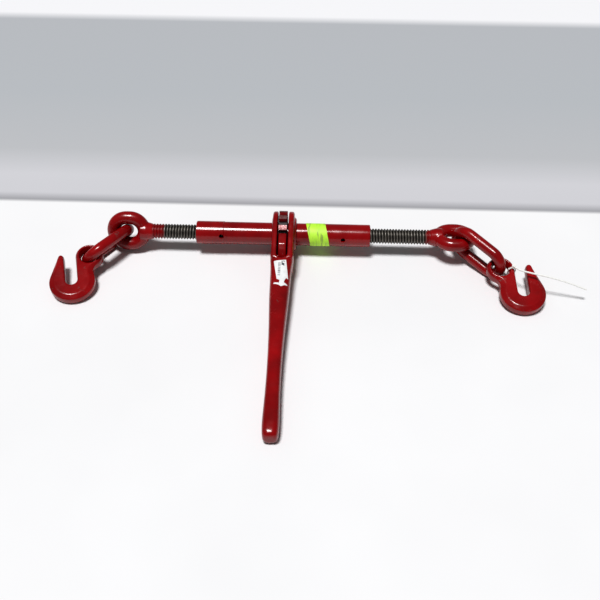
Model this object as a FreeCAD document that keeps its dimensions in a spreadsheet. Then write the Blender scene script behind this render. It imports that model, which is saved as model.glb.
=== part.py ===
import FreeCAD, Part
import math
import os
import Sketcher
from FreeCAD import Placement, Rotation, Vector

# Ratchet load binder: a barrel with a ratchet gear, a handle that swings round it, two eye
# screws of opposite hand, and a link and a grab hook hung on each eye.
# Frame: X along the barrel, +Z up, Z = 0 is the surface the binder lies on.

doc = FreeCAD.newDocument("load_binder")
sheet = doc.addObject("Spreadsheet::Sheet", "sizes")
SIZES = {}


def size(alias, value):
    """Put one driving dimension in the sheet under a readable name."""
    row = len(SIZES) + 1
    sheet.set(f"A{row}", alias)
    sheet.set(f"B{row}", str(value))
    sheet.setAlias(f"B{row}", alias)
    SIZES[alias] = value
    return value


# Where the barrel's middle stands in the frame: the origin is under the box's centre.
size("shift_x", -50.65)
size("shift_y", 160.83)
size("axis_height", 34.0)

# Barrel tube, its two thread inserts and the two holes into its bore.
size("tube_radius", 16.2)
size("tube_end_radius", 16.6)
size("tube_end_length", 39.0)
size("tube_half_length", 127.0)
size("tube_bore_radius", 13.0)
size("insert_length", 23.0)
size("insert_radius", 13.6)
size("insert_bore_radius", 11.3)
size("port_radius", 3.25)
size("left_port_x", -90.0)
size("left_port_angle", 20.0)
size("right_port_x", 87.5)
size("right_port_angle", 13.0)

# Ratchet gear.
size("gear_tip_radius", 34.0)
size("gear_root_radius", 27.0)
size("gear_thickness", 11.8)
size("gear_teeth", 12)
size("gap_tip_half", 5.7)
size("gap_root_half", 2.6)

# Eye screw.
size("thread_radius", 11.0)
size("thread_root_radius", 8.9)
size("thread_pitch", 4.2333)
size("thread_grooves", 31)
size("groove_mouth_half", 1.5)
size("groove_root_half", 0.5)
size("screw_length", 176.0)
size("neck_start", 38.0)
size("neck_end", 26.0)
size("neck_radius", 13.5)
size("spigot_radius", 5.0)
size("spigot_length", 4.4)
size("rivet_radius", 7.5)
size("rivet_thickness", 2.0)
size("eye_radius", 20.0)
size("eye_stock", 9.5)
size("eye_straight", 5.0)
size("left_eye_x", -230.5)
size("right_eye_x", 253.0)
size("left_eye_roll", 70.0)
size("right_eye_roll", -8.0)

# Stop washer on each screw's inner end.
size("washer_radius", 12.6)
size("washer_bore_radius", 5.3)
size("washer_thickness", 4.0)

# Handle: head with a fork round the gear, and the shank.
size("handle_slope", 3.45)
size("head_radius", 33.0)
size("head_left", 15.0)
size("head_right", 16.3)
size("head_length", 65.0)
size("head_end_half", 18.0)
size("head_rounding", 3.0)
size("boss_radius", 24.0)
size("boss_left", 16.2)
size("boss_right", 19.5)
size("bearing_radius", 16.55)
size("slot_left", 7.5)
size("slot_right", 8.1)
size("slot_end", 65.0)

# Pawl, its pin and its detent.
size("pivot_reach", 47.5)
size("pin_radius", 4.0)
size("pin_bore_radius", 4.1)
size("pawl_thickness", 11.8)
size("pawl_rock", 4.5)
size("claw_angle", 45.0)
size("detent_radius", 3.0)
size("detent_bore_radius", 3.3)
size("detent_start", 58.0)
size("detent_length", 8.0)
size("spring_radius", 2.4)
size("spring_wire", 0.45)
size("spring_length", 17.0)
size("spring_pitch", 2.1)

# Link.
size("link_stock", 8.0)
size("link_bend", 20.0)
size("link_straight", 40.0)

# Grab hook: half thickness of the middle slab and of the whole, and the outline.
size("hook_core_half", 4.5)
size("hook_half", 8.5)
size("throat_radius", 8.0)
size("tip_u", -12.5)
size("tip_v", 41.0)
size("tip_radius", 4.5)
size("hook_eye_u", 27.5)
size("hook_eye_v", 39.0)
size("hook_eye_radius", 19.5)
size("hook_eye_hole", 12.0)
size("bowl_u", 0.5)
size("bowl_v", -0.5)
size("bowl_radius", 32.0)
size("hollow_radius", 13.0)
size("bevel_bowl", 7.0)
size("bevel_eye", 3.0)
size("bevel_tip", 1.5)
size("bevel_throat", 0.8)
size("bevel_hole", 2.6)

# Marking tape, price label and cable tie.
size("tape_thickness", 0.35)
size("tape_width", 27.4)
size("tape_x", 50.5)
size("tape_slant", 12.0)
size("label_width", 17.5)
size("label_length", 34.0)
size("label_start", 70.5)
size("label_offset", -1.5)
size("label_thickness", 0.3)
size("label_turn", 7.0)
size("label_shred", 14.0)
size("tie_width", 2.5)
size("tie_thickness", 1.1)
size("tie_head", 5.0)
size("tie_angle", 184.0)
size("tie_head_reach", 17.0)
size("tie_head_height", 12.0)
size("tail_length", 104.0)
size("tail_heading", -17.0)
size("tail_drop", 13.0)
size("tail_arch", 7.0)
size("tail_bow", 9.0)
doc.recompute()

V = SIZES
X_AXIS = Vector(1, 0, 0)
Y_AXIS = Vector(0, 1, 0)
Z_AXIS = Vector(0, 0, 1)


def formula(value):
    """Turn a sheet alias or a formula of aliases, written with bare names, into an expression."""
    words = []
    word = ""
    for char in str(value) + " ":
        if char.isalnum() or char in "_.":
            word += char
            continue
        words.append("sizes." + word if word in SIZES else word)
        words.append(char)
        word = ""
    return "".join(words).strip()


def amount(value):
    """The number that a formula of sheet aliases has now."""
    cell = f"D{len(SIZES) + 1}"
    sheet.set(cell, "=" + formula(value).replace("sizes.", ""))
    sheet.recompute()
    number = float(sheet.get(cell))
    sheet.clear(cell)
    return number


def new_body(name):
    body = doc.addObject("PartDesign::Body", name)
    body.Label = name
    return body


def new_sketch(body, name, plane="XY_Plane", offset=None):
    """A sketch on one of the body's own origin planes, raised by a formula where given."""
    sketch = body.newObject("Sketcher::SketchObject", name)
    base = [f for f in body.Origin.OriginFeatures if f.Role == plane][0]
    sketch.AttachmentSupport = (base, [""])
    sketch.MapMode = "FlatFace"
    if offset is not None:
        sketch.setExpression("AttachmentOffset.Base.z", formula(offset))
    return sketch


def pin_point(sketch, index, position, x, y):
    """Hold one point of a sketch at two formulas measured from the sketch's origin."""
    for kind, value in (("DistanceX", x), ("DistanceY", y)):
        number = amount(value)
        row = sketch.addConstraint(
            Sketcher.Constraint(kind, -1, 1, index, position, number))
        sketch.setExpression(f"Constraints[{row}]", formula(value))


def polygon(sketch, points):
    """A closed outline of straight lines through points given as formulas."""
    numbers = [Vector(amount(x), amount(y), 0) for x, y in points]
    first = sketch.GeometryCount
    count = len(points)
    for i in range(count):
        sketch.addGeometry(Part.LineSegment(numbers[i], numbers[(i + 1) % count]))
    for i in range(count):
        after = (i + 1) % count
        sketch.addConstraint(
            Sketcher.Constraint("Coincident", first + i, 2, first + after, 1))
    for i, (x, y) in enumerate(points):
        pin_point(sketch, first + i, 1, x, y)


def circle(sketch, x, y, radius):
    index = sketch.addGeometry(
        Part.Circle(Vector(amount(x), amount(y), 0), Z_AXIS, amount(radius)))
    pin_point(sketch, index, 3, x, y)
    row = sketch.addConstraint(Sketcher.Constraint("Radius", index, amount(radius)))
    sketch.setExpression(f"Constraints[{row}]", formula(radius))


def revolve(body, name, points):
    """Revolve an outline of (along, radius) points about the body's X axis."""
    sketch = new_sketch(body, name + "_outline")
    polygon(sketch, points)
    turned = body.newObject("PartDesign::Revolution", name)
    turned.Profile = sketch
    turned.ReferenceAxis = (sketch, ["H_Axis"])
    turned.Angle = 360
    sketch.Visibility = False
    return turned


def pad(body, name, sketch, length):
    solid = body.newObject("PartDesign::Pad", name)
    solid.Profile = sketch
    solid.setExpression("Length", formula(length))
    solid.Midplane = True
    return solid


def cylinder(name, radius, height, placement):
    solid = doc.addObject("Part::Cylinder", name)
    solid.setExpression("Radius", formula(radius))
    solid.setExpression("Height", formula(height))
    solid.Placement = placement
    return solid


def box(name, length, width, height, placement):
    solid = doc.addObject("Part::Box", name)
    solid.setExpression("Length", formula(length))
    solid.setExpression("Width", formula(width))
    solid.setExpression("Height", formula(height))
    solid.Placement = placement
    return solid


def fuse(name, shapes):
    solid = doc.addObject("Part::MultiFuse", name)
    solid.Shapes = shapes
    solid.Refine = True
    return solid


def cut(name, base, tool):
    solid = doc.addObject("Part::Cut", name)
    solid.Base = base
    solid.Tool = tool
    return solid


def along(start, direction):
    """Placement that stands a primitive's Z axis along a direction, from a start point."""
    return Placement(start, Rotation(Z_AXIS, direction))


def frame_rotation(x_dir, y_dir, z_dir):
    return Rotation(FreeCAD.Matrix(
        x_dir.x, y_dir.x, z_dir.x, 0,
        x_dir.y, y_dir.y, z_dir.y, 0,
        x_dir.z, y_dir.z, z_dir.z, 0,
        0, 0, 0, 1))


BARREL = Placement(Vector(V["shift_x"], V["shift_y"], V["axis_height"]), Rotation())
HANDLE = BARREL * Placement(Vector(), Rotation(X_AXIS, V["handle_slope"]))
NODES = {}


# ---- barrel ---------------------------------------------------------------------------
def make_barrel_tube():
    body = new_body("barrel_core")
    tube_end = "tube_half_length"
    step = "tube_end_length - tube_half_length"
    seat = "tube_half_length - insert_length"
    revolve(body, "barrel_wall", [
        ("0 - " + tube_end, "insert_radius"),
        ("0 - " + tube_end, "tube_end_radius - 0.8"),
        ("0.8 - " + tube_end, "tube_end_radius"),
        (step, "tube_end_radius"),
        (step + " + 0.4", "tube_end_radius + 0.3"),
        (step + " + 0.9", "tube_end_radius + 0.3"),
        (step + " + 1.6", "tube_radius"),
        (tube_end + " - 0.8", "tube_radius"),
        (tube_end, "tube_radius - 0.8"),
        (tube_end, "insert_radius"),
        (seat, "insert_radius"),
        (seat, "tube_bore_radius"),
        ("0 - (" + seat + ")", "tube_bore_radius"),
        ("0 - (" + seat + ")", "insert_radius"),
    ])
    ports = []
    for side in ("left", "right"):
        angle = math.radians(V[side + "_port_angle"])
        ports.append(cylinder(
            side + "_port", "port_radius", "tube_radius + 5",
            along(Vector(V[side + "_port_x"], 0, 0),
                  Vector(0, -math.cos(angle), math.sin(angle)))))
    tube = cut("barrel_tube", body, fuse("ports", ports))
    tube.Placement = BARREL
    NODES["barrel_tube"] = tube


def make_ratchet_gear():
    body = new_body("ratchet_gear")
    disc = new_sketch(body, "gear_disc", "YZ_Plane")
    circle(disc, "0", "0", "gear_tip_radius")
    circle(disc, "0", "0", "tube_radius")
    pad(body, "gear_pad", disc, "gear_thickness")
    gap = new_sketch(body, "tooth_gap", "YZ_Plane")
    polygon(gap, [
        ("0 - gap_root_half", "gear_root_radius"),
        ("gap_root_half", "gear_root_radius"),
        ("gap_root_half + 0.9", "gear_root_radius + 1.4"),
        ("gap_tip_half", "gear_tip_radius + 1"),
        ("0 - gap_tip_half", "gear_tip_radius + 1"),
        ("0 - gap_root_half - 0.9", "gear_root_radius + 1.4"),
    ])
    pocket = body.newObject("PartDesign::Pocket", "gap_pocket")
    pocket.Profile = gap
    pocket.Type = 1
    pocket.Midplane = True
    pattern = body.newObject("PartDesign::PolarPattern", "gap_ring")
    pattern.Originals = [pocket]
    pattern.Axis = (disc, ["N_Axis"])
    pattern.Angle = 360
    pattern.setExpression("Occurrences", formula("gear_teeth"))
    body.Tip = pattern
    half_tooth = 180.0 / V["gear_teeth"]
    body.Placement = BARREL * Placement(
        Vector(), Rotation(X_AXIS, half_tooth + V["handle_slope"]))
    NODES["ratchet_gear"] = body


def make_thread_insert(name, side):
    body = new_body(name)
    revolve(body, name + "_wall", [
        ("0", "insert_bore_radius"),
        ("insert_length - 0.9", "insert_bore_radius"),
        ("insert_length - 0.4", "insert_bore_radius + 0.5"),
        ("insert_length - 0.4", "insert_radius"),
        ("0", "insert_radius"),
    ])
    turn = Rotation(Z_AXIS, 0 if side > 0 else 180)
    start = side * (V["tube_half_length"] - V["insert_length"])
    body.Placement = BARREL * Placement(Vector(start, 0, 0), turn)
    NODES[name] = body


# ---- eye screws -----------------------------------------------------------------------
def screw_placement(side):
    """Frame of one eye screw: origin at its eye, +X towards the barrel's middle."""
    eye_x = V["right_eye_x"] if side > 0 else V["left_eye_x"]
    roll = V["right_eye_roll"] if side > 0 else V["left_eye_roll"]
    turn = Rotation(Z_AXIS, 180 if side > 0 else 0)
    return BARREL * Placement(Vector(eye_x, 0, 0), Rotation(X_AXIS, roll) * turn)


def oval_ring(name, bend, stock, straight, centre):
    """A closed ring of round stock: two half rings joined by two straights along X."""
    pieces = []
    for end, turn in ((1, -90), (-1, 90)):
        half = doc.addObject("Part::Torus", f"{name}_bend_{'a' if end > 0 else 'b'}")
        half.setExpression("Radius1", formula(bend))
        half.setExpression("Radius2", formula(stock))
        half.Angle3 = 180
        middle = Vector(centre + end * V[straight] / 2, 0, 0)
        half.Placement = Placement(middle, Rotation(Z_AXIS, turn))
        pieces.append(half)
    for side in (1, -1):
        start = Vector(centre - V[straight] / 2, side * V[bend], 0)
        pieces.append(cylinder(
            f"{name}_side_{'a' if side > 0 else 'b'}", stock, straight, along(start, X_AXIS)))
    return pieces


def make_eye_screw(name, side):
    shaft = new_body(name + "_shaft")
    spigot_end = "screw_length + spigot_length"
    revolve(shaft, name + "_rod", [
        ("neck_end - 6", "0"),
        ("neck_end - 6", "neck_radius"),
        ("neck_end + 3", "neck_radius"),
        ("neck_start", "thread_radius"),
        ("screw_length - 2", "thread_radius"),
        ("screw_length", "thread_root_radius"),
        ("screw_length", "spigot_radius"),
        (spigot_end, "spigot_radius"),
        (spigot_end, "rivet_radius"),
        (spigot_end + " + rivet_thickness / 2", "rivet_radius"),
        (spigot_end + " + rivet_thickness", "rivet_radius - 1.5"),
        (spigot_end + " + rivet_thickness", "0"),
    ])
    notch = new_sketch(shaft, name + "_notch")
    polygon(notch, [
        ("neck_start + 4 - groove_mouth_half", "thread_radius + 0.2"),
        ("neck_start + 4 - groove_root_half", "thread_root_radius"),
        ("neck_start + 4 + groove_root_half", "thread_root_radius"),
        ("neck_start + 4 + groove_mouth_half", "thread_radius + 0.2"),
    ])
    groove = shaft.newObject("PartDesign::Groove", name + "_groove")
    groove.Profile = notch
    groove.ReferenceAxis = (notch, ["H_Axis"])
    groove.Angle = 360
    pattern = shaft.newObject("PartDesign::LinearPattern", name + "_thread")
    pattern.Originals = [groove]
    pattern.Direction = (notch, ["H_Axis"])
    pattern.setExpression("Length", formula("thread_pitch * (thread_grooves - 1)"))
    pattern.setExpression("Occurrences", formula("thread_grooves"))
    shaft.Tip = pattern
    ring = oval_ring(name + "_eye", "eye_radius", "eye_stock", "eye_straight",
                     V["eye_straight"] / 2)
    hole = cylinder(name + "_hole", "eye_radius - eye_stock", "4 * eye_stock",
                    Placement(Vector(V["eye_straight"], 0, -2 * V["eye_stock"]), Rotation()))
    solid = fuse(name, [cut(name + "_trimmed", shaft, hole)] + ring)
    solid.Placement = screw_placement(side)
    NODES[name] = solid


def make_stop_washer(name, side):
    body = new_body(name)
    revolve(body, name + "_ring", [
        ("screw_length + 0.2", "washer_bore_radius"),
        ("screw_length + 0.2", "washer_radius - 0.5"),
        ("screw_length + 0.7", "washer_radius"),
        ("screw_length + washer_thickness - 0.3", "washer_radius"),
        ("screw_length + washer_thickness + 0.2", "washer_radius - 0.5"),
        ("screw_length + washer_thickness + 0.2", "washer_bore_radius"),
    ])
    body.Placement = screw_placement(side)
    NODES[name] = body


# ---- handle ---------------------------------------------------------------------------
# Shank sections: reach from the barrel's axis, width, depth and sideways drift.
SHANK = [
    ("root", 40, 30.0, 40.0, 0.4),
    ("shoulder", 53, 33.4, 38.5, 0.4),
    ("neck", 69, 31.1, 34.0, 0.2),
    ("taper", 92, 29.0, 31.5, 0.0),
    ("waist", 122, 27.6, 29.8, -0.3),
    ("upper", 175, 23.0, 27.8, -0.6),
    ("middle", 218, 19.9, 26.8, -0.8),
    ("narrow", 267, 18.7, 26.2, -1.0),
    ("grip", 300, 19.7, 26.8, -1.0),
    ("swell", 328, 21.2, 27.4, -1.0),
    ("nose", 346, 20.8, 25.4, -1.0),
    ("nose_round", 353, 18.6, 21.0, -1.0),
    ("tip", 356, 14.0, 14.0, -1.0),
]
for station, reach, width, depth, drift in SHANK:
    size(station + "_reach", reach)
    size(station + "_width", width)
    size(station + "_depth", depth)
    size(station + "_drift", drift)
size("shank_rounding", 0.36)
doc.recompute()


def shank_section(body, station):
    """Rounded rectangle across the shank at one station; its corners follow its width."""
    sketch = new_sketch(body, station + "_section", "XZ_Plane", station + "_reach")
    half_w = V[station + "_width"] / 2
    half_d = V[station + "_depth"] / 2
    middle = V[station + "_drift"]
    corner = V["shank_rounding"] * V[station + "_width"]
    flat_w = half_w - corner
    flat_d = half_d - corner
    corners = [(1, 1, 0), (-1, 1, 90), (-1, -1, 180), (1, -1, 270)]
    arcs = []
    for sx, sy, start in corners:
        centre = Vector(middle + sx * flat_w, sy * flat_d, 0)
        arcs.append(sketch.addGeometry(Part.ArcOfCircle(
            Part.Circle(centre, Z_AXIS, corner),
            math.radians(start), math.radians(start + 90))))
    for i in range(4):
        after = (i + 1) % 4
        line = sketch.addGeometry(Part.LineSegment(
            sketch.Geometry[arcs[i]].EndPoint, sketch.Geometry[arcs[after]].StartPoint))
        sketch.addConstraint(Sketcher.Constraint("Tangent", arcs[i], 2, line, 1))
        sketch.addConstraint(Sketcher.Constraint("Tangent", line, 2, arcs[after], 1))
    name = station
    for (sx, sy, start), arc in zip(corners, arcs):
        across = f"{name}_drift + {sx} * (0.5 - shank_rounding) * {name}_width"
        down = f"{sy} * (0.5 * {name}_depth - shank_rounding * {name}_width)"
        pin_point(sketch, arc, 3, across, down)
    row = sketch.addConstraint(Sketcher.Constraint("Radius", arcs[0], corner))
    sketch.setExpression(f"Constraints[{row}]", formula(f"shank_rounding * {name}_width"))
    return sketch


def head_outline(sketch):
    """Side view of the head: a round back and two flanks running down to the shank."""
    radius = V["head_radius"]
    reach = V["head_length"]
    half = V["head_end_half"]
    angle = math.atan2(half, reach) + math.acos(radius / math.hypot(reach, half))
    touch = Vector(-radius * math.cos(angle), radius * math.sin(angle), 0)
    back = Part.ArcOfCircle(Part.Circle(Vector(), Z_AXIS, radius),
                            math.pi + angle, 3 * math.pi - angle)
    arc = sketch.addGeometry(back)
    lower = sketch.addGeometry(Part.LineSegment(
        Vector(-reach, -half, 0), Vector(touch.x, -touch.y, 0)))
    upper = sketch.addGeometry(Part.LineSegment(
        Vector(touch.x, touch.y, 0), Vector(-reach, half, 0)))
    front = sketch.addGeometry(Part.LineSegment(
        Vector(-reach, half, 0), Vector(-reach, -half, 0)))
    sketch.addConstraint(Sketcher.Constraint("Tangent", lower, 2, arc, 1))
    sketch.addConstraint(Sketcher.Constraint("Tangent", arc, 2, upper, 1))
    sketch.addConstraint(Sketcher.Constraint("Coincident", upper, 2, front, 1))
    sketch.addConstraint(Sketcher.Constraint("Coincident", front, 2, lower, 1))
    pin_point(sketch, arc, 3, "0", "0")
    pin_point(sketch, upper, 2, "0 - head_length", "head_end_half")
    pin_point(sketch, lower, 1, "0 - head_length", "0 - head_end_half")
    row = sketch.addConstraint(Sketcher.Constraint("Radius", arc, radius))
    sketch.setExpression(f"Constraints[{row}]", formula("head_radius"))


def make_handle():
    shank = new_body("handle_shank")
    sections = [shank_section(shank, row[0]) for row in SHANK]
    loft = shank.newObject("PartDesign::AdditiveLoft", "shank_loft")
    loft.Profile = sections[0]
    loft.Sections = sections[1:]
    loft.Ruled = False

    head = new_body("handle_head")
    outline = new_sketch(head, "head_side", "YZ_Plane", "(head_right - head_left) / 2")
    head_outline(outline)
    block = pad(head, "head_block", outline, "head_left + head_right")
    doc.recompute()
    edges = []
    for number, edge in enumerate(block.Shape.Edges, 1):
        spread = edge.BoundBox.XLength
        if spread < 0.01 and edge.BoundBox.YMax > -V["head_length"] + 1:
            edges.append(f"Edge{number}")
    rounding = head.newObject("PartDesign::Fillet", "head_round")
    rounding.Base = (block, edges)
    rounding.setExpression("Radius", formula("head_rounding"))

    boss_start = Vector(-V["boss_left"], 0, 0)
    boss = cylinder("handle_boss", "boss_radius", "boss_left + boss_right",
                    along(boss_start, X_AXIS))
    boss_edges = doc.addObject("Part::Chamfer", "boss_chamfer")
    boss_edges.Base = boss
    boss_edges.Edges = [(1, 1.6, 1.6), (3, 1.6, 1.6)]

    solid = fuse("handle_forging", [shank, head, boss_edges])
    slot_middle = (V["slot_right"] - V["slot_left"]) / 2
    slot_half = (V["slot_right"] + V["slot_left"]) / 2
    slot_round = slot_half - V["slot_end"]
    tall = 100.0
    slot = box("fork_slot", "slot_left + slot_right", "slot_end + 40 - (slot_left + slot_right) / 2",
               str(tall), Placement(Vector(-V["slot_left"], slot_round, -tall / 2), Rotation()))
    slot_end = cylinder("fork_slot_end", "(slot_left + slot_right) / 2", str(tall),
                        Placement(Vector(slot_middle, slot_round, -tall / 2), Rotation()))
    reach = Vector(-60, -V["pivot_reach"], 0)
    tools = [
        slot,
        slot_end,
        cylinder("bearing_bore", "bearing_radius", "120", along(Vector(-60, 0, 0), X_AXIS)),
        cylinder("pin_bore", "pin_radius", "120", along(reach, X_AXIS)),
        cylinder("detent_bore", "detent_bore_radius", "detent_length + spring_length + 5",
                 along(Vector(0, -V["detent_start"], 0), Vector(0, -1, 0))),
    ]
    handle = cut("handle", solid, fuse("handle_cuts", tools))
    handle.Placement = HANDLE
    NODES["handle"] = handle


def make_pawl_pin():
    start = Vector(-V["head_left"] - 0.6, -V["pivot_reach"], 0)
    pin = cylinder("pawl_pin_rod", "pin_radius", "head_left + head_right + 1.2",
                   along(start, X_AXIS))
    ends = doc.addObject("Part::Chamfer", "pawl_pin")
    ends.Base = pin
    ends.Edges = [(1, 0.6, 0.6), (3, 0.6, 0.6)]
    ends.Placement = HANDLE
    NODES["pawl_pin"] = ends


def polar(radius, angle):
    """Point at a radius from the gear's axis, an angle from the handle's reach."""
    turn = math.radians(angle)
    return Vector(-radius * math.cos(turn), radius * math.sin(turn), 0)


def make_pawl():
    """Rocking double pawl: one claw each side of the pin, about a clear inner curve."""
    body = new_body("pawl")
    sketch = new_sketch(body, "pawl_side", "YZ_Plane")
    claw = V["claw_angle"]
    half = [
        polar(37.2, 0), polar(37.2, 20), polar(37.2, claw - 7.4),
        polar(33.6, claw - 6.4), polar(32.2, claw - 4.0), polar(32.0, claw - 1.0),
        polar(33.2, claw + 0.2), polar(36.8, claw + 0.8), polar(39.6, claw - 1.4),
        polar(42.6, claw - 7.0),
    ]
    back = [Vector(-44.5, 23.2, 0), Vector(-51.6, 16.8, 0), Vector(-56.4, 8.4, 0),
            Vector(-57.5, 0, 0)]
    upper = half + back
    lower = [Vector(p.x, -p.y, 0) for p in reversed(upper[1:-1])]
    ring = upper + lower
    count = len(ring)
    for i in range(count):
        sketch.addGeometry(Part.LineSegment(ring[i], ring[(i + 1) % count]))
    for i in range(count):
        sketch.addConstraint(Sketcher.Constraint("Coincident", i, 2, (i + 1) % count, 1))
        sketch.addConstraint(Sketcher.Constraint("Block", i))
    pad(body, "pawl_block", sketch, "pawl_thickness")
    bore = cylinder("pawl_bore", "pin_bore_radius", "40",
                    along(Vector(-20, -V["pivot_reach"], 0), X_AXIS))
    solid = cut("pawl", body, bore)
    body.Label = "pawl_blank"
    solid.Label = "pawl"
    pivot = Vector(0, -V["pivot_reach"], 0)
    rock = Placement(Vector(), Rotation(X_AXIS, -V["pawl_rock"]), pivot)
    slot_middle = Placement(Vector((V["slot_right"] - V["slot_left"]) / 2, 0, 0), Rotation())
    solid.Placement = HANDLE * slot_middle * rock
    NODES["pawl"] = solid


def make_detent():
    start = V["detent_start"]
    plunger = cylinder("detent_plunger", "detent_radius", "detent_length",
                       along(Vector(0, -start, 0), Vector(0, -1, 0)))
    plunger.Placement = HANDLE * plunger.Placement
    NODES["detent_plunger"] = plunger
    spring = doc.addObject("Part::Feature", "detent_spring")
    turns = V["spring_length"] - 2 * V["spring_wire"]
    helix = Part.makeHelix(V["spring_pitch"], turns, V["spring_radius"])
    wire_ring = Part.Wire([Part.makeCircle(V["spring_wire"], Vector(V["spring_radius"], 0, 0),
                                           Y_AXIS)])
    spring.Shape = Part.Wire(helix.Edges).makePipeShell([wire_ring], True, True)
    begin = start + V["detent_length"] + 0.3 + V["spring_wire"]
    spring.Placement = HANDLE * along(Vector(0, -begin, 0), Vector(0, -1, 0))
    NODES["detent_spring"] = spring


# ---- links ----------------------------------------------------------------------------
POSES = {
    "left_link": (Vector(-256.38, -21.1, 24.56), Vector(-0.569, -0.822, 0.032),
                  Vector(0.651, -0.453, -0.609)),
    "right_link": (Vector(283.08, -28.45, 31.72), Vector(0.713, -0.676, -0.186),
                   Vector(-0.696, -0.714, -0.071)),
    "left_grab_hook": (Vector(-296.02, -93.2, 14.7), -13.8, 12.85),
    "right_grab_hook": (Vector(340.57, -94.55, 15.05), -1.6, 12.96),
}


def make_link(name):
    centre, reach, normal = POSES[name]
    reach = Vector(reach).normalize()
    normal = normal - reach * normal.dot(reach)
    normal.normalize()
    ring = fuse(name, oval_ring(name, "link_bend", "link_stock", "link_straight", 0))
    turn = frame_rotation(reach, normal.cross(reach), normal)
    ring.Placement = BARREL * Placement(
        centre - Vector(0, 0, V["axis_height"]), turn)
    NODES[name] = ring


# ---- grab hooks -----------------------------------------------------------------------
def round_touch(centre_a, radius_a, centre_b, radius_b, side):
    """Ends of the outer tangent line of two circles, on one side of the way from a to b."""
    way = centre_b - centre_a
    angle = math.atan2(way.y, way.x)
    lean = math.acos((radius_a - radius_b) / way.Length) * side
    arm = Vector(math.cos(angle + lean), math.sin(angle + lean), 0)
    return centre_a + arm * radius_a, centre_b + arm * radius_b


def hook_outline(sketch, inset):
    """Outline of the hook; inset 0 is the full outline, inset 1 the rim at the flat faces."""
    def circle_of(u, v, radius, bevel, sign):
        formula_r = f"{radius} {'+' if sign > 0 else '-'} {bevel} * {inset}"
        return Vector(V[u] if u in V else 0, V[v] if v in V else 0, 0), amount(formula_r), formula_r

    throat_c, throat_r, throat_f = circle_of("none", "none", "throat_radius", "bevel_throat", 1)
    tip_c, tip_r, tip_f = circle_of("tip_u", "tip_v", "tip_radius", "bevel_tip", -1)
    eye_c, eye_r, eye_f = circle_of("hook_eye_u", "hook_eye_v", "hook_eye_radius", "bevel_eye", -1)
    bowl_c, bowl_r, bowl_f = circle_of("bowl_u", "bowl_v", "bowl_radius", "bevel_bowl", -1)
    hollow_r = V["hollow_radius"]

    def inner_line(centre, radius, side):
        way = centre - throat_c
        reach = way.Length
        lean = math.asin((throat_r + radius) / reach) * side
        angle = math.atan2(way.y, way.x) + lean
        arm = Vector(math.sin(angle), -math.cos(angle), 0) * side * -1
        return throat_c - arm * throat_r * -1, centre - arm * radius

    tip_side = inner_line(tip_c, tip_r, 1)
    eye_side = inner_line(eye_c, eye_r, -1)
    span = bowl_c - eye_c
    far = span.Length
    eye_arm = eye_r + hollow_r
    bowl_arm = bowl_r + hollow_r
    along_way = (eye_arm ** 2 - bowl_arm ** 2 + far ** 2) / (2 * far)
    off_way = math.sqrt(eye_arm ** 2 - along_way ** 2)
    unit = span * (1 / far)
    hollow_c = eye_c + unit * along_way + Vector(-unit.y, unit.x, 0) * off_way
    if hollow_c.x < eye_c.x:
        hollow_c = eye_c + unit * along_way - Vector(-unit.y, unit.x, 0) * off_way
    eye_hollow = eye_c + (hollow_c - eye_c) * (eye_r / eye_arm)
    bowl_hollow = bowl_c + (hollow_c - bowl_c) * (bowl_r / bowl_arm)
    bowl_flank, tip_flank = round_touch(bowl_c, bowl_r, tip_c, tip_r, 1)

    def arc(centre, radius, start, end):
        first = math.atan2(start.y - centre.y, start.x - centre.x)
        last = math.atan2(end.y - centre.y, end.x - centre.x)
        if last <= first:
            last += 2 * math.pi
        return sketch.addGeometry(Part.ArcOfCircle(
            Part.Circle(centre, Z_AXIS, radius), first, last))

    def line(start, end):
        return sketch.addGeometry(Part.LineSegment(start, end))

    tip_line = line(tip_side[1], tip_side[0])
    throat = arc(throat_c, throat_r, tip_side[0], eye_side[0])
    eye_line = line(eye_side[0], eye_side[1])
    eye = arc(eye_c, eye_r, eye_hollow, eye_side[1])
    hollow = arc(hollow_c, hollow_r, eye_hollow, bowl_hollow)
    bowl = arc(bowl_c, bowl_r, bowl_flank, bowl_hollow)
    flank = line(bowl_flank, tip_flank)
    tip = arc(tip_c, tip_r, tip_side[1], tip_flank)
    joins = [
        (tip_line, 2, throat, 1), (throat, 2, eye_line, 1), (eye_line, 2, eye, 2),
        (eye, 1, hollow, 1), (hollow, 2, bowl, 2), (bowl, 1, flank, 1),
        (flank, 2, tip, 2), (tip, 1, tip_line, 1),
    ]
    for join in joins:
        sketch.addConstraint(Sketcher.Constraint("Tangent", *join))
    pin_point(sketch, throat, 3, "0", "0")
    pin_point(sketch, tip, 3, "tip_u", "tip_v")
    pin_point(sketch, eye, 3, "hook_eye_u", "hook_eye_v")
    pin_point(sketch, bowl, 3, "bowl_u", "bowl_v")
    radii = ((throat, throat_f), (tip, tip_f), (eye, eye_f), (bowl, bowl_f),
             (hollow, "hollow_radius"))
    for item, value in radii:
        row = sketch.addConstraint(Sketcher.Constraint("Radius", item, amount(value)))
        sketch.setExpression(f"Constraints[{row}]", formula(value))


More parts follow.
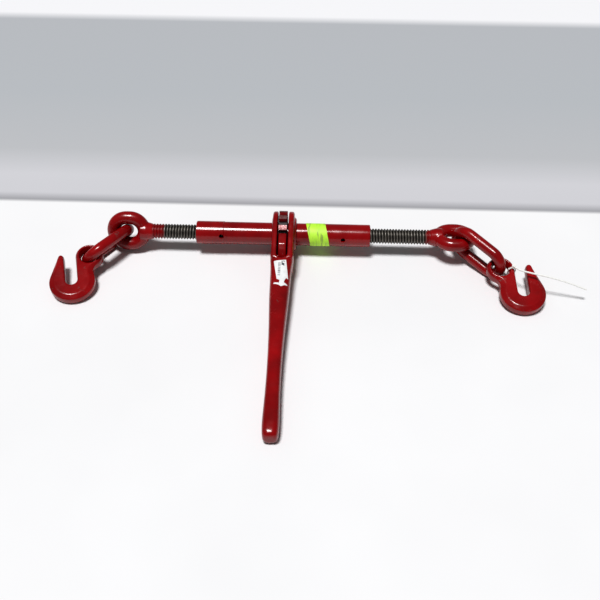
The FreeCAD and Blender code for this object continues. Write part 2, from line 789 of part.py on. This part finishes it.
def make_grab_hook(name, side):
    body = new_body(name + "_forging")
    middle = new_sketch(body, name + "_middle")
    hook_outline(middle, 0)
    pad(body, name + "_core", middle, "2 * hook_core_half")
    for face in (1, -1):
        label = f"{name}_{'upper' if face > 0 else 'lower'}"
        inner = new_sketch(body, label + "_inner", "XY_Plane", f"{face} * hook_core_half")
        hook_outline(inner, 0)
        outer = new_sketch(body, label + "_outer", "XY_Plane", f"{face} * hook_half")
        hook_outline(outer, 1)
        loft = body.newObject("PartDesign::AdditiveLoft", label)
        loft.Profile = inner
        loft.Sections = [outer]
        loft.Ruled = True
    eye = Vector(V["hook_eye_u"], V["hook_eye_v"], 0)
    hole = cylinder(name + "_hole", "hook_eye_hole", "4 * hook_half",
                    Placement(eye - Vector(0, 0, 2 * V["hook_half"]), Rotation()))
    tools = [hole]
    for face in (1, -1):
        flare = doc.addObject("Part::Cone", f"{name}_flare_{'a' if face > 0 else 'b'}")
        flare.setExpression("Radius1", formula("hook_eye_hole"))
        flare.setExpression("Radius2", formula("hook_eye_hole + bevel_hole * 1.5"))
        flare.setExpression("Height", formula("(hook_half - 2) * 1.5"))
        start = eye + Vector(0, 0, face * 2)
        flare.Placement = along(start, Vector(0, 0, face))
        tools.append(flare)
    hook = cut(name, body, fuse(name + "_eye_cut", tools))
    throat, azimuth, tilt = POSES[name]
    az = math.radians(azimuth)
    tl = math.radians(tilt)
    v_dir = Vector(math.sin(az) * math.cos(tl), math.cos(az) * math.cos(tl), math.sin(tl))
    n_dir = Vector(-math.sin(az) * math.sin(tl), -math.cos(az) * math.sin(tl), math.cos(tl))
    if side > 0:
        n_dir = n_dir * -1
    u_dir = v_dir.cross(n_dir)
    hook.Placement = BARREL * Placement(
        throat - Vector(0, 0, V["axis_height"]), frame_rotation(u_dir, v_dir, n_dir))
    NODES[name] = hook


# ---- tape, label and cable tie --------------------------------------------------------
def make_marking_tape():
    sleeve_start = Vector(V["tape_x"] - 40, 0, 0)
    sleeve = cut("tape_sleeve",
                 cylinder("tape_outer", "tube_radius + tape_thickness", "80",
                          along(sleeve_start, X_AXIS)),
                 cylinder("tape_inner", "tube_radius", "80", along(sleeve_start, X_AXIS)))
    lean = Rotation(Vector(0, -1, 1), V["tape_slant"])
    corner = lean.multVec(Vector(-V["tape_width"] / 2, -30, -30))
    band = box("tape_band", "tape_width", "60", "60",
               Placement(Vector(V["tape_x"], 0, 0) + corner, lean))
    tape = doc.addObject("Part::Common", "marking_tape")
    tape.Base = sleeve
    tape.Tool = band
    tape.Placement = BARREL
    NODES["marking_tape"] = tape


def shank_skin(grow):
    """The shank's outside between the head and the waist, grown by a little."""
    wires = []
    for station, reach, width, depth, drift in SHANK:
        corner = V["shank_rounding"] * width + grow
        half_w = width / 2 + grow
        half_d = depth / 2 + grow
        face = Part.makePlane(2 * half_w, 2 * half_d, Vector(drift - half_w, -reach, -half_d),
                              Vector(0, -1, 0))
        outline = []
        for sx, sz, start in ((1, 1, 0), (-1, 1, 90), (-1, -1, 180), (1, -1, 270)):
            centre = Vector(drift + sx * (half_w - corner), -reach, sz * (half_d - corner))
            ends = []
            for step in (0, 45, 90):
                turn = math.radians(start + step)
                ends.append(centre + Vector(math.cos(turn), 0, math.sin(turn)) * corner)
            outline.append(ends)
        edges = []
        for i, ends in enumerate(outline):
            edges.append(Part.Arc(*ends).toShape())
            edges.append(Part.LineSegment(ends[2], outline[(i + 1) % 4][0]).toShape())
        wires.append(Part.Wire(edges))
    return Part.makeLoft(wires, True, False)


def make_price_label():
    """Paper label whose lower end is torn, with a shred still stuck below it."""
    length = V["label_length"]
    width = V["label_width"]
    shred = V["label_shred"] / length
    torn = [(0, 0), (1, 0), (1, 1), (0.86, 0.97), (0.74, 1 + 0.1 * shred), (0.62, 1 + 0.5 * shred),
            (0.84, 1 + 0.72 * shred), (0.90, 1 + 0.86 * shred), (0.62, 1 + 0.88 * shred),
            (0.36, 1 + shred), (0.16, 1 + 0.76 * shred), (-0.22, 1 + 0.56 * shred),
            (-0.16, 1 + 0.42 * shred), (0.24, 1 + 0.52 * shred), (0.30, 1 + 0.16 * shred),
            (0.08, 1), (0, 0)]
    outline = []
    for across, down in torn:
        outline.append(Vector((across - 0.5) * width, -down * length, 0))
    stamp = Part.Face(Part.makePolygon(outline)).extrude(Z_AXIS * 40)
    stamp.Placement = Placement(Vector(V["label_offset"], -V["label_start"], 0),
                                Rotation(Z_AXIS, V["label_turn"]))
    label = doc.addObject("Part::Feature", "price_label")
    skin = shank_skin(0.04 + V["label_thickness"]).cut(shank_skin(0.04))
    label.Shape = skin.common(stamp)
    label.Placement = HANDLE
    NODES["price_label"] = label


def make_cable_tie():
    """Nylon tie drawn tight round the right hook's eye, its long tail left uncut."""
    hook = NODES["right_grab_hook"]
    eye = Vector(V["hook_eye_u"], V["hook_eye_v"], 0)
    turn = math.radians(V["tie_angle"])
    out = Vector(math.cos(turn), math.sin(turn), 0)
    rim = []
    for reach, height in ((11.5, 4.4), (15.2, 9.0), (17.6, 9.0), (20.6, 5.2)):
        rim.append((reach, height))
    rim += [(reach, -height) for reach, height in reversed(rim)]
    middle = Vector(sum(r for r, h in rim) / len(rim), 0, 0)
    loops = []
    for grow in (V["tie_thickness"], 0):
        points = []
        for reach, height in rim:
            spread = Vector(reach - middle.x, height, 0)
            spread = spread * (1 + grow / spread.Length)
            points.append(eye + out * (middle.x + spread.x) + Vector(0, 0, spread.y))
        points.append(points[0])
        loops.append(Part.Face(Part.makePolygon(points)))
    side = Z_AXIS.cross(out)
    band = loops[0].cut(loops[1])
    band.translate(side * (-V["tie_width"] / 2))
    band = band.extrude(side * V["tie_width"])
    band.Placement = hook.Placement * band.Placement
    head_at = hook.Placement.multVec(eye + out * V["tie_head_reach"] - Z_AXIS * V["tie_head_height"])
    heading = Vector(math.cos(math.radians(V["tail_heading"])),
                     math.sin(math.radians(V["tail_heading"])), 0)
    across = Z_AXIS.cross(heading)
    sections = []
    for i in range(13):
        t = i / 12
        lift = V["tail_drop"] * t ** 1.3 - V["tail_arch"] * math.sin(math.pi * t)
        aside = V["tail_bow"] * math.sin(math.pi * t ** 0.6)
        point = head_at + heading * (V["tail_length"] * t) - across * aside - Z_AXIS * lift
        corners = []
        for side_sign, up_sign in ((-1, -1), (1, -1), (1, 1), (-1, 1), (-1, -1)):
            corners.append(point + across * (side_sign * V["tie_width"] / 2)
                           + Z_AXIS * (up_sign * V["tie_thickness"] / 2))
        sections.append(Part.makePolygon(corners))
    tail = Part.makeLoft(sections, True, True)
    half = V["tie_head"] / 2
    head = Part.makeBox(2 * half, 2 * half, V["tie_head"] - 1, Vector(-half, -half, -half + 0.5))
    head.Placement = Placement(head_at, Rotation(X_AXIS, heading))
    tie = doc.addObject("Part::Feature", "cable_tie")
    tie.Shape = band.fuse([head, tail])
    NODES["cable_tie"] = tie


make_barrel_tube()
make_ratchet_gear()
make_thread_insert("left_thread_insert", -1)
make_thread_insert("right_thread_insert", 1)
make_eye_screw("left_eye_screw", -1)
make_eye_screw("right_eye_screw", 1)
make_stop_washer("left_stop_washer", -1)
make_stop_washer("right_stop_washer", 1)
make_handle()
make_pawl_pin()
make_pawl()
make_detent()
make_link("left_link")
make_link("right_link")
make_grab_hook("left_grab_hook", -1)
make_grab_hook("right_grab_hook", 1)
make_cable_tie()
make_marking_tape()
make_price_label()
doc.recompute()

for item in doc.Objects:
    if "Invalid" in item.State or "Error" in item.State:
        raise RuntimeError(f"{item.Name} is {item.State}")

os.makedirs("parts", exist_ok=True)
whole = FreeCAD.BoundBox()
for node, item in NODES.items():
    shape = item.Shape
    if shape.isNull() or not shape.isValid() or shape.Volume <= 0:
        raise RuntimeError(f"{node} has no valid solid")
    item.Label = node
    shape.exportStep(f"parts/{node}.step")
    whole.add(shape.BoundBox)
    print(node, len(shape.Solids), round(shape.Volume, 1), shape.BoundBox)
print("whole", whole)
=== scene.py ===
import math
import bmesh
import bpy
from mathutils import Matrix, Vector


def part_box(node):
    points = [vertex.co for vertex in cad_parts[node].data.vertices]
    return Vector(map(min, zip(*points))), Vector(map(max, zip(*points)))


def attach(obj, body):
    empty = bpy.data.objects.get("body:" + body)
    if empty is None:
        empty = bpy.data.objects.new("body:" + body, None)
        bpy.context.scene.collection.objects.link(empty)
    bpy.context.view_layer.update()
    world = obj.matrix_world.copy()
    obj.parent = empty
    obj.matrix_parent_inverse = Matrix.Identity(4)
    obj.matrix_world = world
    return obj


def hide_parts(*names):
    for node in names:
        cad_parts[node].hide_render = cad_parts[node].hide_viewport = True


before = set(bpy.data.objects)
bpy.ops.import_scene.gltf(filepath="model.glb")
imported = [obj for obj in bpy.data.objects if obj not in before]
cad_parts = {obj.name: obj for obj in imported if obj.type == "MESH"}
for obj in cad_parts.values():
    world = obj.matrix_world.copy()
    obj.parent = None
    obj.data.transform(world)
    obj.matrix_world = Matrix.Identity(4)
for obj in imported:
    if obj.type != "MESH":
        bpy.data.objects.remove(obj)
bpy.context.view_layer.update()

MM = 0.001

# The ratchet gear sits in the middle of the barrel, so its centre is a point on the barrel's axis.
GEAR_LOW, GEAR_HIGH = [Vector(p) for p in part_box("ratchet_gear")]
AXIS = (GEAR_LOW + GEAR_HIGH) / 2

# Gear: teeth are rubbed bright beyond the first radius, and within the second the gaps between the
# teeth are painted near-black as shade.
BRIGHT_RADIUS = 33.3 * MM
GAP_SHADE_RADIUS = 30.5 * MM

# Eye screws, along the barrel's axis: eye's centre in from its outer end, then neck and thread's
# inner end in from the eye's centre.
EYE_INSET = 29.5 * MM
NECK_END = 38.0 * MM
THREAD_END = 176.0 * MM
THREAD_PITCH = 4.2333 * MM
THREAD_CREST = 11.0 * MM
THREAD_ROOT = 8.95 * MM

# The white table top ends in a grey backdrop this far behind the barrel's axis.
BACKDROP_START = 108 * MM

RED = (0.250, 0.0010, 0.0030)
RED_DEEP = (0.170, 0.0006, 0.0020)
RED_BRIGHT = (0.330, 0.0020, 0.0045)
PRIMER = (0.045, 0.03, 0.028)
STEEL = (0.42, 0.41, 0.40)


# ---- shader helpers -------------------------------------------------------------------------
class Shader:
    """Builds one material's node tree with short calls."""

    def __init__(self, name):
        self.mat = bpy.data.materials.new(name)
        self.mat.use_nodes = True
        self.tree = self.mat.node_tree
        self.tree.nodes.clear()
        self.out = self.node("ShaderNodeOutputMaterial")
        self.bsdf = self.node("ShaderNodeBsdfPrincipled")
        self.link(self.bsdf.outputs[0], self.out.inputs[0])
        self.coord = self.node("ShaderNodeTexCoord").outputs["Object"]

    def node(self, kind, **values):
        made = self.tree.nodes.new(kind)
        for key, value in values.items():
            setattr(made, key, value)
        return made

    def link(self, a, b):
        self.tree.links.new(a, b)

    def put(self, socket, value):
        """Sets a socket to a constant, or links another socket to it."""
        if isinstance(value, bpy.types.NodeSocket):
            self.link(value, socket)
        else:
            socket.default_value = value

    def set(self, **values):
        """Sets inputs of the surface shader, with _ for each space in a name."""
        for key, value in values.items():
            self.put(self.bsdf.inputs[key.replace("_", " ")], value)

    def noise(self, scale, detail=4, rough=0.55, distort=0.0, coord=None):
        made = self.node("ShaderNodeTexNoise")
        self.put(made.inputs["Vector"], coord or self.coord)
        made.inputs["Scale"].default_value = scale
        made.inputs["Detail"].default_value = detail
        made.inputs["Roughness"].default_value = rough
        made.inputs["Distortion"].default_value = distort
        return made.outputs["Fac"]

    def cells(self, scale):
        made = self.node("ShaderNodeTexVoronoi")
        self.put(made.inputs["Vector"], self.coord)
        made.inputs["Scale"].default_value = scale
        return made.outputs["Distance"]

    def ramp(self, value, stops):
        """Maps a value through (place, colour or grey level) stops."""
        made = self.node("ShaderNodeValToRGB")
        self.put(made.inputs[0], value)
        ramp = made.color_ramp
        while len(ramp.elements) < len(stops):
            ramp.elements.new(0.5)
        for element, (place, colour) in zip(ramp.elements, stops):
            element.position = place
            if not isinstance(colour, tuple):
                colour = (colour, colour, colour)
            element.color = (*colour, 1)
        return made.outputs[0]

    def math(self, kind, a, b=0.0, c=None, clamp=False):
        made = self.node("ShaderNodeMath", operation=kind, use_clamp=clamp)
        self.put(made.inputs[0], a)
        self.put(made.inputs[1], b)
        if c is not None:
            self.put(made.inputs[2], c)
        return made.outputs[0]

    def minus(self, a, b):
        return self.math("SUBTRACT", a, b)

    def times(self, a, b, clamp=False):
        return self.math("MULTIPLY", a, b, clamp=clamp)

    def wander(self, scale, detail, rough, size):
        """Noise about zero, to make the border of a mask ragged."""
        return self.times(self.minus(self.noise(scale, detail, rough), 0.5), size)

    def within(self, value, first, last):
        """1 where the value lies between first and last, else 0."""
        return self.times(self.math("GREATER_THAN", value, first),
                          self.math("LESS_THAN", value, last))

    def mix(self, fac, a, b):
        """Mix of two colours."""
        made = self.node("ShaderNodeMix", data_type="RGBA")
        self.put(made.inputs[0], fac)
        for socket, value in ((made.inputs[6], a), (made.inputs[7], b)):
            self.put(socket, (*value, 1) if isinstance(value, tuple) else value)
        return made.outputs[2]

    def blend(self, fac, a, b):
        """Mix of two numbers."""
        made = self.node("ShaderNodeMix", data_type="FLOAT")
        self.put(made.inputs[0], fac)
        self.put(made.inputs[2], a)
        self.put(made.inputs[3], b)
        return made.outputs[0]

    def split(self):
        made = self.node("ShaderNodeSeparateXYZ")
        self.put(made.inputs[0], self.coord)
        return made.outputs

    def join(self, *values):
        made = self.node("ShaderNodeCombineXYZ")
        for socket, value in zip(made.inputs, values):
            self.put(socket, value)
        return made.outputs[0]

    def edge(self, low, high):
        """Mask of convex edges, where paint wears through."""
        pointed = self.node("ShaderNodeNewGeometry").outputs["Pointiness"]
        return self.ramp(pointed, [(low, 0.0), (high, 1.0)])

    def bump(self, height, strength, distance):
        made = self.node("ShaderNodeBump")
        made.inputs["Strength"].default_value = strength
        made.inputs["Distance"].default_value = distance
        self.put(made.inputs["Height"], height)
        self.link(made.outputs[0], self.bsdf.inputs["Normal"])


# ---- materials ------------------------------------------------------------------------------
def red_paint(name, chips, texture, wear=1.0, gloss=(0.17, 0.30)):
    """Thick glossy red enamel over a forged skin, chipped, and rubbed through on its edges.

    More chips come with a lower value of chips. Wear is how far the edges are rubbed.
    """
    s = Shader(name)
    colour = s.ramp(s.noise(22, 3), [(0.30, RED_DEEP), (0.52, RED), (0.75, RED_BRIGHT)])
    chip = s.times(s.ramp(s.noise(95, 4, 0.65), [(chips, 0.0), (chips + 0.03, 1.0)]),
                   s.ramp(s.noise(900, 6, 0.7), [(0.50, 0.0), (0.58, 1.0)]))
    rub = s.times(s.edge(0.545, 0.61),
                  s.ramp(s.noise(160, 5, 0.7), [(0.52, 0.0), (0.62, wear)]))
    worn = s.math("MAXIMUM", chip, rub)
    bare = s.ramp(s.noise(300, 3), [(0.40, PRIMER), (0.62, (0.15, 0.075, 0.065))])
    sheen = s.ramp(s.noise(60, 4), [(0.3, gloss[0]), (0.7, gloss[1])])
    s.set(Base_Color=s.mix(worn, colour, bare), Roughness=s.blend(worn, sheen, 0.6),
          Specular_IOR_Level=0.5)
    skin = s.math("MULTIPLY_ADD", s.noise(420, 5, 0.6), 0.55, s.times(s.cells(260), 0.35))
    s.bump(s.minus(skin, s.times(worn, 0.35)), texture, 0.0003)
    return s.mat


def thread_finish(name, paint_x, sign):
    """Dark oily thread. Beyond paint_x, towards the eye, it is red with the eye's paint."""
    s = Shader(name)
    place = s.math("ADD", s.split()[0], s.wander(140, 4, 0.55, 0.010))
    painted = s.times(s.minus(place, paint_x), sign * 260.0, clamp=True)
    oil = s.ramp(s.noise(240, 5, 0.65), [(0.35, (0.014, 0.013, 0.011)),
                                         (0.55, (0.050, 0.045, 0.038)),
                                         (0.75, (0.13, 0.12, 0.10))])
    crest = s.times(s.edge(0.50, 0.56), 0.65)
    steel = s.mix(crest, oil, (0.30, 0.28, 0.25))
    red = s.ramp(s.noise(60, 3), [(0.3, RED_DEEP), (0.7, RED)])
    rough = s.ramp(s.noise(300, 4), [(0.3, 0.34), (0.7, 0.55)])
    s.set(Base_Color=s.mix(painted, steel, red), Metallic=s.blend(painted, 0.75, 0.0),
          Roughness=s.blend(painted, rough, 0.35))
    s.bump(s.noise(700, 5), 0.35, 0.0003)
    return s.mat


def gear_finish():
    """Red gear rubbed bright on its tooth tips, with shade painted near-black in the gaps between
    them.
    """
    s = Shader("gear_worn_enamel")
    _, y, z = s.split()
    dy = s.minus(y, AXIS.y)
    dz = s.minus(z, AXIS.z)
    radius = s.math("SQRT", s.math("ADD", s.times(dy, dy), s.times(dz, dz)))
    rubbed = s.math("ADD", radius, s.wander(500, 5, 0.7, 0.0030))
    tip = s.times(s.minus(rubbed, BRIGHT_RADIUS), 900.0, clamp=True)
    # Painted shade: within the second radius the gaps between the teeth turn near-black.
    gap_shade = s.times(s.minus(GAP_SHADE_RADIUS, radius), 350.0, clamp=True)
    red = s.ramp(s.noise(90, 4), [(0.3, (0.16, 0.004, 0.008)), (0.7, RED)])
    red_with_gap_shade = s.mix(gap_shade, red, (0.018, 0.012, 0.012))
    steel = s.ramp(s.noise(600, 4), [(0.3, (0.10, 0.03, 0.03)), (0.7, (0.34, 0.27, 0.265))])
    rough = s.ramp(s.noise(900, 4), [(0.3, 0.30), (0.7, 0.60)])
    s.set(Base_Color=s.mix(tip, red_with_gap_shade, steel), Metallic=s.times(tip, 0.8),
          Roughness=s.blend(tip, 0.40, rough))
    s.bump(s.noise(800, 5), 0.4, 0.0003)
    return s.mat


def steel_finish(name, colour, rough, grime):
    """Machined steel, darkened by the factor grime in patches."""
    s = Shader(name)
    tone = s.ramp(s.noise(180, 5), [(0.3, tuple(c * grime for c in colour)), (0.65, colour)])
    s.set(Base_Color=tone, Metallic=1.0,
          Roughness=s.ramp(s.noise(400, 4), [(0.3, rough), (0.7, rough + 0.2)]))
    s.bump(s.noise(900, 3), 0.25, 0.0002)
    return s.mat


def tape_finish():
    """Fluorescent tape with grey pencil strokes, drawn out round the barrel, a soft grain, and a
    painted glow.
    """
    s = Shader("fluorescent_tape")
    x, y, z = s.split()
    strokes = s.join(s.times(x, 240.0), s.times(y, 28.0), s.times(z, 28.0))
    pencil = s.ramp(s.noise(1.0, 3, 0.6, 0.6, strokes), [(0.56, 0.0), (0.62, 0.8)])
    base = s.ramp(s.noise(70, 4), [(0.3, (0.42, 0.78, 0.05)), (0.7, (0.56, 0.92, 0.08))])
    # The emission paints a faint glow onto the tape, light of its own that stands in for its
    # fluorescence.
    s.set(Base_Color=s.mix(pencil, base, (0.22, 0.30, 0.08)), Roughness=0.55,
          Emission_Color=(0.45, 0.9, 0.02, 1), Emission_Strength=0.06)
    s.bump(s.noise(1500, 3), 0.25, 0.0002)
    return s.mat


def label_finish():
    """White paper label with grey bars and a blotch, as a price label has, and no lettering."""
    low, high = [Vector(p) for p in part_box("price_label")]
    s = Shader("paper_label")
    x, y, _ = s.split()
    across = s.math("DIVIDE", s.minus(x, low.x), high.x - low.x)
    down = s.math("DIVIDE", s.minus(y, low.y), high.y - low.y)
    bars = s.math("GREATER_THAN", s.noise(60, 0, coord=s.join(s.times(down, 0.9))), 0.50)
    blotch = s.math("GREATER_THAN", s.noise(420, 2), 0.49)
    for value, first, last in ((across, 0.30, 0.47), (down, 0.40, 0.92)):
        bars = s.times(bars, s.within(value, first, last))
    for value, first, last in ((across, 0.52, 0.72), (down, 0.78, 0.96)):
        blotch = s.times(blotch, s.within(value, first, last))
    ink = s.times(s.math("MAXIMUM", s.times(bars, 0.9), blotch), 0.95)
    paper = s.ramp(s.noise(120, 4), [(0.3, (0.72, 0.73, 0.74)), (0.7, (0.86, 0.87, 0.88))])
    s.set(Base_Color=s.mix(ink, paper, (0.03, 0.035, 0.05)), Roughness=0.62)
    s.bump(s.noise(700, 4), 0.3, 0.0002)
    return s.mat


def nylon_finish():
    """Clear nylon, slightly milky."""
    s = Shader("natural_nylon")
    tone = s.ramp(s.noise(300, 3), [(0.3, (0.80, 0.80, 0.77)), (0.7, (0.92, 0.92, 0.90))])
    s.set(Base_Color=tone, Roughness=0.33, Subsurface_Weight=0.15, Specular_IOR_Level=0.5,
          Subsurface_Radius=(0.002, 0.002, 0.002))
    s.bump(s.noise(1200, 3), 0.2, 0.0002)
    return s.mat


def floor_finish():
    """White table top that turns to a grey backdrop behind the binder, with a thin band of painted
    shadow where they meet.
    """
    s = Shader("pale_floor")
    past = s.minus(s.split()[1], AXIS.y + BACKDROP_START)
    white = s.ramp(s.noise(3.0, 3), [(0.3, (0.80, 0.80, 0.81)), (0.7, (0.84, 0.84, 0.85))])
    # The dark first stop of the grey is a thin band of painted shadow along the table's edge.
    grey = s.ramp(s.times(past, 1.4, clamp=True),
                  [(0.0, (0.30, 0.30, 0.32)), (0.03, (0.57, 0.57, 0.60)),
                   (0.10, (0.58, 0.58, 0.61)), (0.20, (0.47, 0.48, 0.50)),
                   (0.45, (0.44, 0.46, 0.485)), (0.84, (0.44, 0.455, 0.48)),
                   (0.88, (0.82, 0.82, 0.84))])
    edge = s.times(s.math("ADD", past, 0.004), 130.0, clamp=True)
    s.set(Base_Color=s.mix(edge, white, grey), Roughness=0.6)
    return s.mat


ENAMEL = red_paint("red_enamel_forging", 0.67, 0.40)
ENAMEL_WORN = red_paint("red_enamel_hook", 0.64, 0.55)
ENAMEL_TUBE = red_paint("red_enamel_tube", 0.72, 0.12, 0.0, (0.14, 0.24))
BARE = steel_finish("machined_steel", STEEL, 0.3, 0.5)


# ---- mesh helpers ---------------------------------------------------------------------------
def give(piece, material):
    piece.data.materials.clear()
    piece.data.materials.append(material)


def add_object(name, data):
    """New object in the scene, holding a mesh, a light or a camera."""
    made = bpy.data.objects.new(name, data)
    bpy.context.scene.collection.objects.link(made)
    return made


def new_mesh(name, verts, faces):
    mesh = bpy.data.meshes.new(name)
    mesh.from_pydata(verts, [], faces)
    mesh.update()
    return mesh


def shade_smooth(mesh):
    mesh.polygons.foreach_set("use_smooth", [True] * len(mesh.polygons))


def cad_copy(node, name):
    """Free copy of a CAD node's mesh, in the node's place."""
    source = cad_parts[node]
    piece = source.copy()
    piece.data = source.data.copy()
    piece.name = name
    piece.parent = None
    bpy.context.scene.collection.objects.link(piece)
    piece.matrix_world = source.matrix_world
    return piece


def soften(piece, voxel, rounds):
    """Gives a piece one even skin with rounded edges, as a forging has."""
    remesh = piece.modifiers.new("skin", "REMESH")
    remesh.mode = "VOXEL"
    remesh.voxel_size = voxel
    smooth = piece.modifiers.new("soften", "SMOOTH")
    smooth.factor = 0.5
    smooth.iterations = rounds
    graph = bpy.context.evaluated_depsgraph_get()
    mesh = bpy.data.meshes.new_from_object(piece.evaluated_get(graph))
    piece.modifiers.clear()
    piece.data = mesh
    shade_smooth(mesh)


def forged(node, body, material, voxel, rounds):
    """Softened copy of a CAD node, shown in its place."""
    piece = cad_copy(node, node + "_forged")
    soften(piece, voxel, rounds)
    give(piece, material)
    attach(piece, body)
    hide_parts(node)


def show_cad(node, material):
    """A CAD node shown as it is."""
    give(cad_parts[node], material)


# ---- eye screws -----------------------------------------------------------------------------
def thread_rod(name, start, end, hand, material, body):
    """Screw rod with one true helical thread, from start to end along X."""
    around = 40
    per_pitch = 8
    rows = int(abs(end - start) / THREAD_PITCH * per_pitch)
    runout_rows = per_pitch * 0.9
    # depth of the groove over one pitch: 0 at the crest, 1 at the root
    profile = [0.0, 0.12, 0.62, 1.0, 1.0, 0.62, 0.12, 0.0]
    verts = []
    for i in range(rows + 1):
        x = start + (end - start) * (i / rows)
        runout = min(1.0, i / runout_rows, (rows - i) / runout_rows)
        for j in range(around):
            angle = 2 * math.pi * j / around
            phase = ((x - start) / THREAD_PITCH - hand * j / around) % 1.0
            spot = phase * len(profile)
            first = int(spot) % len(profile)
            second = (first + 1) % len(profile)
            share = spot - int(spot)
            depth = profile[first] * (1 - share) + profile[second] * share
            radius = THREAD_CREST - (THREAD_CREST - THREAD_ROOT) * depth * runout
            verts.append((x, AXIS.y + radius * math.cos(angle), AXIS.z + radius * math.sin(angle)))
    faces = []
    for i in range(rows):
        for j in range(around):
            a = i * around + j
            b = i * around + (j + 1) % around
            faces.append((a, a + around, b + around, b))
    faces.append(tuple(range(around)))
    faces.append(tuple(rows * around + j for j in reversed(range(around))))
    piece = add_object(name, new_mesh(name, verts, faces))
    shade_smooth(piece.data)
    give(piece, material)
    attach(piece, body)
    made = bmesh.new()
    made.from_mesh(piece.data)
    bmesh.ops.recalc_face_normals(made, faces=made.faces)
    made.to_mesh(piece.data)
    made.free()
    return piece


def screw_end(name, node, cut_x, way, body, material):
    """Softened part of an eye screw, past cut_x towards +X if way is 1 and -X if it is -1."""
    piece = cad_copy(node, name)
    made = bmesh.new()
    made.from_mesh(piece.data)
    bmesh.ops.remove_doubles(made, verts=made.verts, dist=1e-6)
    geometry = made.verts[:] + made.edges[:] + made.faces[:]
    cut = bmesh.ops.bisect_plane(made, geom=geometry, plane_co=(cut_x, 0, 0),
                                 plane_no=(way, 0, 0), clear_inner=True)
    rim = [g for g in cut["geom_cut"] if isinstance(g, bmesh.types.BMEdge)]
    bmesh.ops.holes_fill(made, edges=rim)
    made.to_mesh(piece.data)
    made.free()
    soften(piece, 0.9 * MM, 5)
    give(piece, material)
    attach(piece, body)
    return piece


def eye_screw(side, sign, painted):
    """Eye and neck, thread, and the bare spigot inside the barrel that holds the stop washer.

    The first length of the thread, painted, is red from the painting of the eye.
    """
    node = side + "_eye_screw"
    body = side + "_screw"
    low, high = [Vector(p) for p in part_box(node)]
    eye_x = (high.x if sign > 0 else low.x) - sign * EYE_INSET
    neck_x = eye_x - sign * NECK_END
    inner_x = eye_x - sign * THREAD_END
    finish = thread_finish(side + "_thread_finish", neck_x - sign * painted, sign)
    rod = thread_rod(side + "_thread", neck_x + sign * 1.0 * MM, inner_x, sign, finish, body)
    head = screw_end(side + "_eye", node, neck_x - sign * 0.4 * MM, sign, body, ENAMEL)
    screw_end(side + "_spigot", node, inner_x, -sign, body, BARE)
    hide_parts(node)
    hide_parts(node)


# ---- the binder -----------------------------------------------------------------------------
eye_screw("left", -1, 19.0 * MM)
eye_screw("right", 1, 8.5 * MM)
for side in ("left", "right"):
    forged(side + "_grab_hook", side + "_hook", ENAMEL_WORN, 0.9 * MM, 10)
    show_cad(side + "_link", ENAMEL_WORN)
    show_cad(side + "_thread_insert", BARE)
    show_cad(side + "_stop_washer", BARE)
forged("handle", "handle", ENAMEL, 0.9 * MM, 22)
forged("pawl", "pawl", ENAMEL, 0.6 * MM, 40)
show_cad("barrel_tube", ENAMEL_TUBE)
show_cad("ratchet_gear", gear_finish())
show_cad("pawl_pin", ENAMEL)
show_cad("detent_plunger", BARE)
show_cad("detent_spring", BARE)
show_cad("marking_tape", tape_finish())
show_cad("price_label", label_finish())
show_cad("cable_tie", nylon_finish())


# ---- floor, light and camera ----------------------------------------------------------------
def plain_stage():
    """One flat floor, 16 m square."""
    corners = [(-8, -8, 0), (8, -8, 0), (8, 8, 0), (-8, 8, 0)]
    piece = add_object("floor", new_mesh("floor", corners, [(0, 1, 2, 3)]))
    give(piece, floor_finish())


def key_light():
    """One soft overhead light, a little to the left and to the front, with no falloff."""
    data = bpy.data.lights.new("key", "SUN")
    data.energy = 2.75
    data.angle = math.radians(13)
    towards = Vector((0.34, 0.50, -2.45))
    add_object("key", data).rotation_euler = towards.to_track_quat("-Z", "Y").to_euler()


def studio_world():
    """Dim surroundings, shown paler to the camera than they light the binder."""
    world = bpy.data.worlds.new("studio")
    world.use_nodes = True
    tree = world.node_tree
    light = tree.nodes["Background"]
    light.inputs[0].default_value = (1, 1, 1, 1)
    light.inputs[1].default_value = 0.14
    seen = tree.nodes.new("ShaderNodeBackground")
    seen.inputs[0].default_value = (0.80, 0.81, 0.83, 1)
    seen.inputs[1].default_value = 0.75
    path = tree.nodes.new("ShaderNodeLightPath")
    mix = tree.nodes.new("ShaderNodeMixShader")
    tree.links.new(path.outputs["Is Camera Ray"], mix.inputs[0])
    tree.links.new(light.outputs[0], mix.inputs[1])
    tree.links.new(seen.outputs[0], mix.inputs[2])
    tree.links.new(mix.outputs[0], tree.nodes["World Output"].inputs[0])
    bpy.context.scene.world = world


def camera():
    """The photograph's view: from the front, about 45 degrees above the table."""
    elevation = math.radians(44.84)
    azimuth = math.radians(1.56)
    roll = math.radians(0.28)
    distance = 1.25
    aim = Vector((AXIS.x + 0.0278, AXIS.y - 0.1028, 0))
    back = Vector((math.sin(azimuth) * math.cos(elevation),
                   -math.cos(azimuth) * math.cos(elevation),
                   math.sin(elevation)))
    data = bpy.data.cameras.new("camera")
    data.sensor_width = 36
    data.lens = 52.96
    data.clip_start = 0.05
    turn = (-back).to_track_quat("-Z", "Y").to_matrix() @ Matrix.Rotation(roll, 3, "Z")
    eye = add_object("camera", data)
    eye.matrix_world = Matrix.Translation(aim + back * distance) @ turn.to_4x4()
    bpy.context.scene.camera = eye


plain_stage()
key_light()
studio_world()
bpy.context.scene.view_settings.view_transform = "Standard"
bpy.context.scene.view_settings.look = "Medium High Contrast"
camera()
